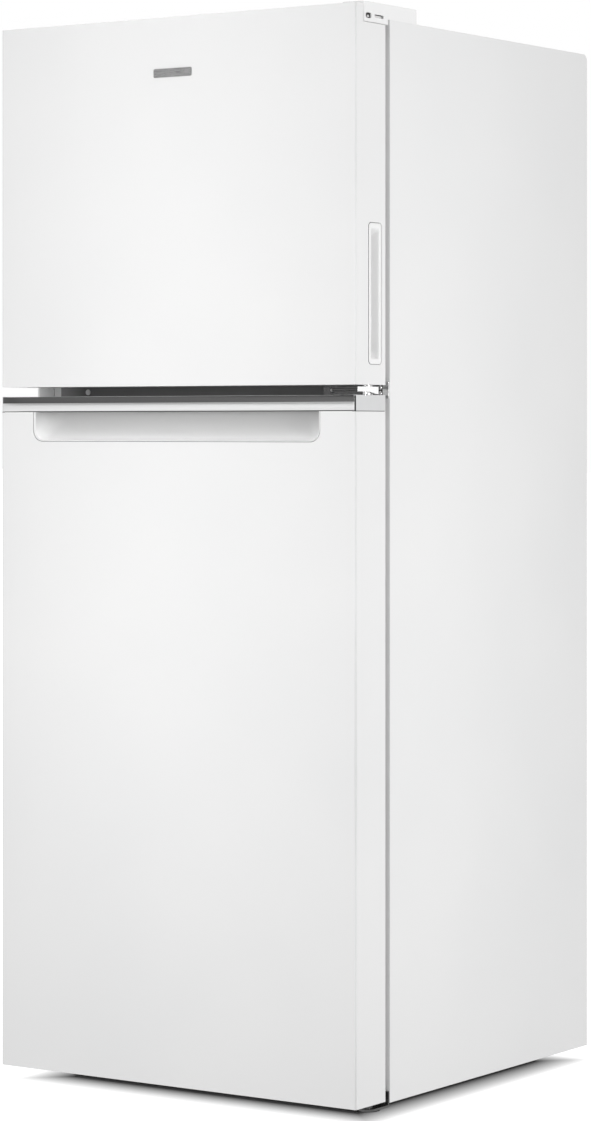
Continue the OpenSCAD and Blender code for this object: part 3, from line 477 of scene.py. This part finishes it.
def make_scoop():
    """Smooth finger recess: a thin lip in the door's window, then one concave sweep."""
    trim_low = box_mm("handle_trim")[0].z
    block_low, block_high = box_mm("handle_scoop")
    margin, mouth_rise = 6.0, 13.8
    half = block_high.x - margin
    bottom = block_low.z + margin
    ceiling = trim_low + mouth_rise
    behind_trim = 10.4
    # Depth, floor rise, end inset and corner radius, from the hidden ledge to the back
    steps = [(1.6, -3.0, -3.0, 17.0), (1.55, 0.7, 0.7, 15.5), (0.4, 0.75, 0.75, 15.5),
             (0.15, 1.3, 1.3, 15.0), (0.5, 2.1, 2.1, 14.5), (1.6, 2.9, 3.0, 14.0),
             (4.0, 3.8, 4.2, 14.0), (7.0, 5.2, 5.8, 14.0), (behind_trim, 7.4, 8.0, 14.5),
             (behind_trim + 0.1, 7.5, 8.1, 14.5), (14.0, 10.4, 10.6, 15.0),
             (18.0, 14.6, 13.8, 15.5), (22.0, 19.6, 17.6, 16.0), (25.5, 25.4, 22.0, 16.0),
             (28.2, 31.4, 26.6, 15.0), (29.6, 36.4, 30.4, 13.0), (30.0, 41.0, 34.0, 11.0)]
    rings = []
    for depth, rise, inset, radius in steps:
        top = trim_low + 0.1 if depth <= behind_trim else ceiling
        x, z = half - inset, bottom + rise
        left = arc((-x + radius, z + radius), radius, 180, 270, 8)
        right = arc((x - radius, z + radius), radius, 270, 360, 8)
        rings.append(lift([(-x, top), *left, *right, (x, top)], "y", front + depth))
    well = Form()
    # Painted shadow on the lip's first two bands, and painted shade on the sweep, darker towards
    # the top under the trim
    looks = [1, 1, 0, 0, 0] + [2] * (len(rings) - 5)
    made = well.skin(rings, caps=False, wrap=False, looks=looks)
    well.face(made[-1], 2)
    for first, second in zip(made[9:], made[10:]):
        well.face((first[0], first[-1], second[-1], second[0]), 2)
    well.make("handle_scoop_well", "fridge_door", "white_plastic", ("handle_scoop",),
              sharp=60, extra=(SEAM_PAINTED_SHADOW, graded("scoop_plastic_painted_shade", bottom * MM + 0.006,
                                            trim_low * MM, 0.93, 0.44)))


def make_cap_seam():
    """Thin shadow line round the door where its top cap meets the steel."""
    level = box_mm("fridge_door_skin")[1].z
    high = cabinet_high.x
    proud, corner, thin, deep = 0.06, 3.0, 0.45, 0.8
    back = front + 70.0
    for sign, tag in ((-1, "left"), (1, "right")):
        side = sign * (high + proud)
        turn = [(sign * (high - corner + (corner + proud) * math.cos(a)),
                 front + corner - (corner + proud) * math.sin(a))
                for a in (math.radians(90 * i / 6) for i in range(7))]
        path = [(side, back)] + turn + [(sign * (high - 2 * corner), front - proud)]
        inner = [(x - sign * deep, y + deep) for x, y in path]
        seam = Form()
        rings = [lift(path, "z", level - thin), lift(path, "z", level + thin),
                 lift(inner, "z", level + thin), lift(inner, "z", level - thin)]
        made = [seam.ring(points) for points in rings]
        for first, second in zip(made, made[1:] + made[:1]):
            seam.bridge(first, second, wrap=False)
        for end in (0, -1):
            seam.face([points[end] for points in made])
        seam.make("cap_seam_" + tag, "fridge_door", "black_rubber")


# ---------------------------------------------------------------- gaskets


def make_gasket(node, body):
    """Magnetic door seal: a flat magnet strip on two folded bellows."""
    low, high = box_mm(node)
    deep = high.y - low.y
    width = 18.0
    section = [(2.0, 0.0), (2.0, 0.1), (3.6, 0.24), (1.2, 0.38), (3.6, 0.53), (0.8, 0.68),
               (0.1, 0.77), (0.0, 0.95), (0.7, 1.0), (width / 2 - 2, 1.0), (width / 2, 0.985),
               (width / 2 + 2, 1.0), (width - 0.7, 1.0), (width, 0.95), (width - 0.4, 0.79),
               (width - 3.0, 0.68), (width - 0.9, 0.53), (width - 3.4, 0.38),
               (width - 1.0, 0.24), (width - 3.0, 0.1), (width - 3.0, 0.0)]
    rings = []
    for inset, level in section:
        outline = rounded((low.x + inset, low.z + inset), (high.x - inset, high.z - inset),
                          max(1.0, 7.0 - 0.35 * inset), 4)
        rings.append(lift(outline, "y", low.y + deep * level))
    seal = Form()
    seal.skin(rings, loop=True)
    seal.make(node + "_bellows", body, "gasket_rubber", (node,), sharp=50)


# ---------------------------------------------------------------- screws and small hardware


def screw(form, at, axis, radius, rise, turn):
    """A pan-head screw with a cross recess, standing on the point along the axis."""
    frame_of = {"y": (Vector((0, 0, 1)), Vector((1, 0, 0)), Vector((0, 1, 0))),
                "z": (Vector((1, 0, 0)), Vector((0, 1, 0)), Vector((0, 0, 1)))}
    across, along, out = frame_of[axis[-1]]
    if axis[0] == "-":
        out = -out
    base = Vector(at)

    def place(points, level):
        spin = math.radians(turn)
        return [base + across * (a * math.cos(spin) - b * math.sin(spin))
                + along * (a * math.sin(spin) + b * math.cos(spin)) + out * level
                for a, b in points]

    profile = [(1.0, 0.0), (1.0, 0.35), (0.95, 0.62), (0.84, 0.84), (0.68, 1.0)]
    rings = [form.ring(place(circle((0, 0), radius * r, 20), rise * z)) for r, z in profile]
    form.face(rings[0])
    for first, second in zip(rings, rings[1:]):
        form.bridge(first, second)
    wide, thin = radius * 0.46, radius * 0.12
    cross = [(wide, thin), (thin, thin), (thin, wide), (-thin, wide), (-thin, thin),
             (-wide, thin), (-wide, -thin), (-thin, -thin), (-thin, -wide), (thin, -wide),
             (thin, -thin), (wide, -thin)]
    lip = form.ring(place(cross, rise))
    floor = form.ring(place([(a * 0.6, b * 0.6) for a, b in cross], rise * 0.45))
    form.bridge(lip, floor)
    form.face(floor)
    edges = [form.mesh.edges.get((a, b)) or form.mesh.edges.new((a, b))
             for loop in (rings[-1], lip) for a, b in zip(loop, loop[1:] + loop[:1])]
    bmesh.ops.triangle_fill(form.mesh, edges=edges, use_beauty=True)


def make_hinge_screws():
    heads = Form()
    plate, turn_step = 2.5, 25
    turn = 10
    for x in (hinge_x - 44, hinge_x):
        for y in (cabinet_front + 14, cabinet_front + 50):
            screw(heads, (x, y, cabinet_roof + 3.0), "+z", 4.5, 2.5, turn)
            turn += turn_step
    low_edge = fridge_cap_low.z
    for x, z in ((hinge_x - 77, divider_mid + 0.5), (hinge_x - 1, divider_mid + 3.6),
                 (hinge_x - 1, divider_mid - 4), (hinge_x - 44, low_edge + 5),
                 (hinge_x + 4, low_edge + 5)):
        screw(heads, (x, cabinet_front - plate, z), "-y", 3.5, 2.5, turn)
        turn += turn_step
    heads.make("hinge_screw_heads", "cabinet", "hinge_steel", ("hinge_screws",), sharp=40)


def make_rear_screws():
    """Sheet screws that hold the rear panel and the compressor cover."""
    heads = Form()
    panel_low, panel_high = box_mm("rear_panel")
    cover_low, cover_high = box_mm("compressor_cover")
    back = panel_high.y
    inset, turn_step = 9.0, 37
    turn = 0
    spots = [(x, z) for x in (panel_low.x + inset, panel_high.x - inset)
             for z in (panel_low.z + 12, panel_low.z + 290, panel_low.z + 640,
                       panel_low.z + 960, panel_high.z - 12)]
    spots += [(x, z) for x in (cover_low.x + inset, cover_high.x - inset)
              for z in (cover_low.z + 14, cover_high.z - 12)]
    spots += [(x, cover_high.z - 8) for x in (-90, 60)]
    for x, z in spots:
        screw(heads, (x, back, z), "+y", 4.0, 2.2, turn)
        turn += turn_step
    heads.make("rear_screws", "cabinet", "hinge_steel", sharp=40)


def make_side_grips():
    """Finger grips in the freezer door's sides: a flush bezel round a pocket with soft ends."""
    low, high = box_mm("freezer_side_grips")
    # Depth, inset at front and rear, inset at the ends, corner radius
    levels = [(1.3, 0.0, 0.0, 6.0), (1.3, 0.6, 0.6, 5.5), (0.35, 0.65, 0.65, 5.4),
              (0.02, 1.1, 1.1, 5.0), (0.02, 5.2, 6.2, 4.2), (0.25, 6.0, 7.2, 3.9),
              (1.2, 6.5, 8.2, 3.6), (4.0, 6.6, 9.6, 3.5), (9.0, 6.8, 13.0, 3.5),
              (14.0, 7.1, 18.0, 3.5), (16.4, 7.9, 22.0, 3.2), (17.0, 9.2, 26.0, 2.6)]
    front_groove = 1.1
    for sign, side in ((-1, "left"), (1, "right")):
        rings = [lift(rounded((low.y + across + (front_groove if across else 0), low.z + ends),
                              (high.y - across, high.z - ends), radius),
                      "x", sign * (high.x - depth))
                 for depth, across, ends, radius in levels]
        grip = Form()
        # The bezel's two outer bands take the near-black seam strip: a painted shadow line round
        # the grip
        made = grip.skin(rings, caps=False, looks=[1, 1] + [0] * (len(rings) - 2))
        grip.face(made[-1])
        stands_for = ("freezer_side_grips",) if sign > 0 else ()
        grip.make("side_grip_" + side, "freezer_door", "grip_plastic", stands_for, sharp=50,
                  extra=(SEAM_PAINTED_SHADOW,))


def make_center_hinge():
    """Plated hinge between the doors: flange, folded pad with a grooved front, pin, collars."""
    low, high = box_mm("center_hinge_bracket")
    plate, sheet, rim_width = 2.5, 3.0, 2.5
    top = fridge_cap_high.z + 11.2
    bottom = top - 7.0
    pad_x = (hinge_x - 29.0, high.x)
    pad_y = (front + 5.5, front + 56.0)
    hinge_y = front + 48.0
    hinge = Form()
    flange_low, flange_high = fridge_cap_high.z - 4.5, divider_mid + 10.7
    flange_turn = hinge_x + 3.0
    # Painted shade: the flange is darkened zinc as far as just past the hinge axis, then a grey
    # copy toned to the shaded door gap out to the side
    hinge.bar([(low.x, flange_low), (flange_turn, flange_low), (flange_turn, flange_high),
               (low.x, flange_high)], "y", cabinet_front - plate, cabinet_front, look=1)
    hinge.bar([(flange_turn, flange_low), (cabinet_high.x - 0.5, flange_low),
               (cabinet_high.x - 0.5, flange_high), (flange_turn, flange_high)], "y",
              cabinet_front - plate, cabinet_front, look=3)
    # Pad: its front edge is a rolled section with three grooves
    edge = [(2.5, 0.0), (0.6, 0.0), (0.1, 0.6), (0.1, 1.3), (0.9, 1.8), (0.2, 2.3), (0.0, 3.1),
            (0.2, 3.9), (0.9, 4.4), (0.2, 4.9), (0.1, 5.9), (0.6, 6.7), (1.6, 7.0), (2.5, 7.0)]
    rings = [lift([(pad_y[0] + a, bottom + b) for a, b in edge], "x", at)
             for at in (pad_x[0], pad_x[1] - 0.7)]
    made = [hinge.ring(points) for points in rings]
    # The rolled front takes the darkened zinc as painted shade, and the pad's side end the bright
    # copy as painted highlight
    for i in range(len(edge)):
        j = (i + 1) % len(edge)
        look = 1 if i < len(edge) - 2 else 0
        hinge.face((made[0][i], made[0][j], made[1][j], made[1][i]), look)
    hinge.face(made[0])
    hinge.face(made[1], 2)
    sheet_top = rounded((pad_x[0] + 0.1, pad_y[0] + 2.4), (pad_x[1] - 0.2, pad_y[1]), 1.5)
    hinge.bar(sheet_top, "z", top - sheet, top)
    # Right-hand rim, deeper at its rear end, in the bright copy of the zinc as painted highlight
    rim = [(pad_y[0] + 1.0, bottom + 0.4), (pad_y[0] + 28, bottom), (pad_y[1] - 12, bottom - 1.6),
           (pad_y[1] - 6, fridge_cap_high.z + 1.2), (pad_y[1], fridge_cap_high.z + 1.2),
           (pad_y[1], top - 0.2), (pad_y[0] + 1.0, top - 0.2)]
    outer = hinge.ring(lift(rim, "x", pad_x[1]))
    inner = hinge.ring(lift(rim, "x", pad_x[1] - rim_width))
    hinge.bridge(outer, inner, look=2)
    hinge.face(outer, 2)
    hinge.face(inner, 2)
    # Painted shade: the plate back to the cabinet takes the darkened zinc
    hinge.bar([(pad_x[0], pad_y[1] - 1), (hinge_x - 6, pad_y[1] - 1),
               (hinge_x - 6, cabinet_front - 2), (pad_x[0], cabinet_front - 2)], "z",
              top - sheet, top, look=1)
    for radius, span in ((4.0, (fridge_cap_high.z - 15, divider_mid + 22.7)),
                         (7.0, (top - 1, divider_mid + 6.2)),
                         (7.0, (fridge_cap_high.z + 0.5, top - 2))):
        hinge.bar(circle((hinge_x, hinge_y), radius), "z", *span)
    hinge.make("center_hinge", "cabinet", "hinge_steel", ("center_hinge_bracket",), edge=0.2,
               extra=(HINGE_PAINTED_SHADE, HINGE_PAINTED_HIGHLIGHT, HINGE_PAINTED_HALF_SHADE))


def make_bin_rims(name, body, node, tops):
    """White rims on the door bins' free edges, one open U each."""
    low, high = box_mm(node)
    arm_start = low.y + 62
    # Reach outwards and rise round the rim
    section = [(0.7, -6.0), (0.8, -0.4), (0.4, 0.6), (-0.6, 1.0), (-2.4, 1.0), (-3.4, 0.6),
               (-3.8, -0.4), (-3.7, -6.0), (-3.0, -6.4), (0.0, -6.4)]
    rims = Form()
    for top, radius in tops:
        rings = []
        for out, rise in section:
            centre_x, centre_y = high.x - radius, high.y - radius
            path = [(-high.x - out, arm_start)]
            path += arc((-centre_x, centre_y), radius + out, 180, 90, 6)
            path += arc((centre_x, centre_y), radius + out, 90, 0, 6)
            path.append((high.x + out, arm_start))
            rings.append(rims.ring(lift(path, "z", top + rise)))
        for first, second in zip(rings, rings[1:] + rings[:1]):
            rims.bridge(first, second, wrap=False)
        for end in (0, -1):
            rims.face([points[end] for points in rings])
    rims.make(name, body, "white_plastic", sharp=50)


def make_dial():
    """Thermostat knob: ribbed grip, domed face and a raised pointer."""
    low, high = box_mm("temperature_dial")
    centre = ((low.x + high.x) / 2, (low.z + high.z) / 2)
    radius = (high.x - low.x) / 2
    knob = Form()

    def ribbed(size, depth, rib):
        """A round outline with a notch in every second pair of its points."""
        steps = 96
        outline = []
        for i in range(steps):
            angle = 2 * math.pi * i / steps
            reach = size - (rib if i % 4 < 2 else 0)
            outline.append((centre[0] + reach * math.cos(angle),
                            centre[1] + reach * math.sin(angle)))
        return lift(outline, "y", low.y + depth)

    deep = high.y - low.y
    knob.skin([ribbed(radius, deep, 0), ribbed(radius, deep * 0.82, 0),
               ribbed(radius * 0.97, deep * 0.78, 0.9), ribbed(radius * 0.95, 1.6, 0.9),
               ribbed(radius * 0.9, 0.5, 0.4), ribbed(radius * 0.7, 0.0, 0)])
    pointer = rounded((centre[0] - 1.3, centre[1] + 1), (centre[0] + 1.3,
                      centre[1] + radius * 0.86), 1.2)
    knob.bar(pointer, "y", low.y - 0.7, low.y + 1.0)
    knob.make("thermostat_knob", "temperature_knob", "light_grey_plastic",
              ("temperature_dial",), sharp=40)
    # Scale: seven ticks that grow round the knob
    ticks = Form()
    first_angle, tick_count = 225, 7
    for i in range(tick_count):
        angle = math.radians(first_angle - 45 * i)
        start, end = radius + 2.2, radius + 4.2 + 0.5 * i
        along = (math.cos(angle), math.sin(angle))
        across = (-along[1] * 0.6, along[0] * 0.6)
        outline = [(centre[0] + along[0] * r + across[0] * k, centre[1] + along[1] * r
                    + across[1] * k) for r, k in ((start, -1), (end, -1), (end, 1), (start, 1))]
        ticks.bar(outline, "y", high.y - 0.25, high.y + 0.2)
    ticks.make("thermostat_scale", "cabinet", "dark_painted_steel")


make_center_hinge()
make_cap_seam()
# The bins' upper edges and corner radii repeat part.scad
make_bin_rims("freezer_bin_rims", "freezer_door", "freezer_door_bins",
              ((1130, 3.5), (1295, 3.5)))
make_bin_rims("fridge_bin_rims", "fridge_door", "fridge_door_bins",
              ((395, 8), (510, 8), (635, 8), (728, 8)))
make_dial()
make_side_grips()
make_trim()
make_scoop()
make_gasket("freezer_door_gasket", "freezer_door")
make_gasket("fridge_door_gasket", "fridge_door")
make_hinge_screws()
make_rear_screws()

# ---------------------------------------------------------------- floor, light and camera


def make_floor():
    half = 60000.0
    floor_glow = 0.92
    # Metres past the footprint, so minus is under the object: the floor has its full glow at
    # the edge and none at the core, and both lie further out at the object's sides
    shadow_edge, shadow_core = -0.03, -0.092
    beside = 0.035
    sheet = Form()
    sheet.face(sheet.ring([(-half, -half, 0), (half, -half, 0), (half, half, 0),
                           (-half, half, 0)]))
    data = bpy.data.meshes.new("floor")
    sheet.mesh.to_mesh(data)
    sheet.mesh.free()
    floor = bpy.data.objects.new("floor", data)
    scene.collection.objects.link(floor)
    s = Surface("floor_glow_painted_shadow", Roughness=0.9, Specular_IOR_Level=0.1,
                Emission_Color=(1, 1, 1, 1))
    s.colour(s.noise(2.0), grey(0.29), grey(0.31))
    # Painted light: the floor glows, except well under the object, where the missing glow paints
    # its contact shadow
    split = s.add("ShaderNodeSeparateXYZ")
    s.join(s.coords, split.inputs["Vector"])
    beyond = [s.math("SUBTRACT", s.math("ABSOLUTE", split.outputs[axis]), half_side)
              for axis, half_side in (("X", cad_box[1].x + beside), ("Y", cad_box[1].y))]
    distance = s.math("MAXIMUM", *beyond)
    s.join(s.between(distance, 0.0, floor_glow, shadow_core, shadow_edge),
           s.shader.inputs["Emission Strength"])
    data.materials.append(s.material)


def area_light(name, at, aim, size, watts, spread):
    data = bpy.data.lights.new(name, "AREA")
    data.shape = "RECTANGLE"
    data.size, data.size_y = size
    data.energy = watts
    data.spread = math.radians(spread)
    lamp = bpy.data.objects.new(name, data)
    lamp.location = at
    lamp.rotation_euler = (Vector(aim) - Vector(at)).to_track_quat("-Z", "Y").to_euler()
    scene.collection.objects.link(lamp)


def make_lights():
    """A white room, dimmer between horizon and ceiling, with soft strip lights on the front."""
    world = bpy.data.worlds.new("studio")
    world.use_nodes = True
    tree = world.node_tree
    sky = tree.nodes["Background"]
    direction = tree.nodes.new("ShaderNodeTexCoord").outputs["Generated"]
    split = tree.nodes.new("ShaderNodeSeparateXYZ")
    level = tree.nodes.new("ShaderNodeValToRGB")
    tree.links.new(direction, split.inputs["Vector"])
    tree.links.new(split.outputs["Z"], level.inputs["Fac"])
    stops = ((0.125, 1.0), (0.22, 0.50), (0.55, 0.50), (0.75, 1.0))
    while len(level.color_ramp.elements) < len(stops):
        level.color_ramp.elements.new(0.5)
    for element, (place, value) in zip(level.color_ramp.elements, stops):
        element.position = place
        element.color = (value, value, value, 1)
    tree.links.new(level.outputs["Color"], sky.inputs["Color"])
    sky.inputs["Strength"].default_value = 1.0
    scene.world = world
    area_light("key", (-0.35, -2.9, 1.15), (-0.03, -0.33, 1.02), (0.15, 1.5), 0.85, 26)
    area_light("side", (2.9, -1.3, 1.2), (0.3, -0.2, 0.95), (0.15, 1.6), 0.95, 26)
    area_light("top", (0.0, -0.2, 5.0), (0.0, 0.0, 0.0), (4.0, 4.0), 60, 180)


def make_camera():
    """Level camera at the right front, its frame shifted down instead of tilted."""
    data = bpy.data.cameras.new("camera")
    data.sensor_fit = "VERTICAL"
    data.sensor_height = 36.0
    data.sensor_width = 36.0
    data.lens = 113.24
    data.shift_y = -0.1174
    data.clip_end = 200.0
    camera = bpy.data.objects.new("camera", data)
    camera.location = (2.8519, front * MM - 3.9013, 0.9258)
    toward = Vector((-0.5617, 0.8274, 0.0))
    camera.rotation_euler = toward.to_track_quat("-Z", "Y").to_euler()
    scene.collection.objects.link(camera)
    scene.camera = camera


make_floor()
make_lights()
make_camera()
scene.view_settings.view_transform = "Standard"

bpy.context.view_layer.update()
